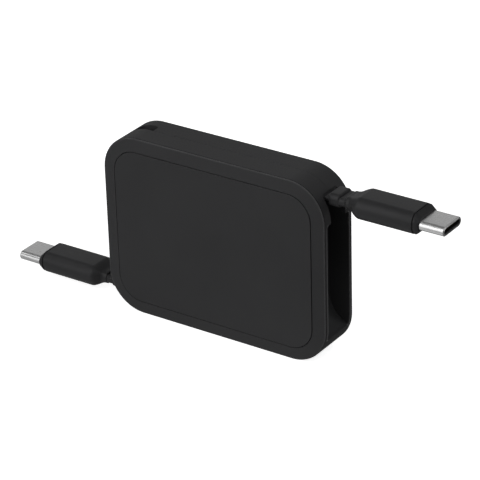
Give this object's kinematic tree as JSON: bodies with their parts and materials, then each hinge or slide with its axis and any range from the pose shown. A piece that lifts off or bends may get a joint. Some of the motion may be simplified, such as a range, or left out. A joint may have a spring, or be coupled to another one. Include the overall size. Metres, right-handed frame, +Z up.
{
  "type": "retractable usb-c charging cable",
  "caption": "Flat rounded case with a sprung spool of flat cable; a usb-c plug leaves it at each end and folds down into a bay in the case's side.",
  "frame": {"origin": "under the middle of the case, on the surface that it stands on", "axes": "+X towards the upper plug, +Y from the front panel to the rear panel, +Z up"},
  "size_m": [0.1254, 0.0132, 0.048],
  "materials": {
    "case_plastic": "fine matte moulding",
    "panel_plastic": "matte moulded plate",
    "fastener_steel": "zinc-plated",
    "axle_steel": "ground",
    "washer_nylon": "natural nylon",
    "ball_steel": "polished",
    "spool_plastic": "natural acetal",
    "spring_steel": "blued strip",
    "cable_sheath": "satin flat sheath",
    "grip_elastomer": "satin moulded",
    "plug_metal": "nickel-plated",
    "core_plastic": "black insulator",
    "contact_gold": "gold flash",
    "board_laminate": "solder-masked laminate"
  },
  "bodies": {
    "case": {"front_shell": "case_plastic", "rear_shell": "case_plastic", "front_panel": "panel_plastic", "rear_panel": "panel_plastic", "case_screws": "fastener_steel", "spool_axle": "axle_steel", "spool_washer": "washer_nylon", "latch_ball": "ball_steel"},
    "spool": {"spool": "spool_plastic", "spring_cover": "spool_plastic", "power_spring": "spring_steel", "cable_coil": "cable_sheath"},
    "right_lead": {"right_lead_cable": "cable_sheath", "right_lead_bead": "grip_elastomer"},
    "right_plug": {"right_strain_relief": "grip_elastomer", "right_neck_cable": "cable_sheath", "right_overmold": "grip_elastomer", "right_plug_shell": "plug_metal", "right_plug_core": "core_plastic", "right_contacts": "contact_gold", "right_side_latches": "plug_metal", "right_plug_board": "board_laminate"},
    "left_lead": {"left_lead_cable": "cable_sheath", "left_lead_bead": "grip_elastomer"},
    "left_plug": {"left_strain_relief": "grip_elastomer", "left_neck_cable": "cable_sheath", "left_overmold": "grip_elastomer", "left_plug_shell": "plug_metal", "left_plug_core": "core_plastic", "left_contacts": "contact_gold", "left_side_latches": "plug_metal", "left_plug_board": "board_laminate"}
  },
  "joints": [
    {"name": "spool_spin", "type": "hinge", "parent": "case", "child": "spool", "pos_m": [0, 0, 0.024], "axis": [0, 1, 0], "range_deg": [0, 1538.1]},
    {"name": "right_pull", "type": "slide", "parent": "case", "child": "right_lead", "axis": [1, 0, 0], "range_m": [0, 0.4005]},
    {"name": "right_fold", "type": "hinge", "parent": "right_lead", "child": "right_plug", "pos_m": [0.0292, 0, 0.04367], "axis": [0, 1, 0], "range_deg": [0, 90]},
    {"name": "left_pull", "type": "slide", "parent": "case", "child": "left_lead", "axis": [-1, 0, 0], "range_m": [0, 0.4005]},
    {"name": "left_fold", "type": "hinge", "parent": "left_lead", "child": "left_plug", "pos_m": [-0.0292, 0, 0.00433], "axis": [0, 1, 0], "range_deg": [0, 90]}
  ],
  "couplings": [
    {"joint": "right_pull", "follows": "spool_spin", "m_per_rad": 0.0149},
    {"joint": "left_pull", "follows": "spool_spin", "m_per_rad": 0.0149}
  ]
}
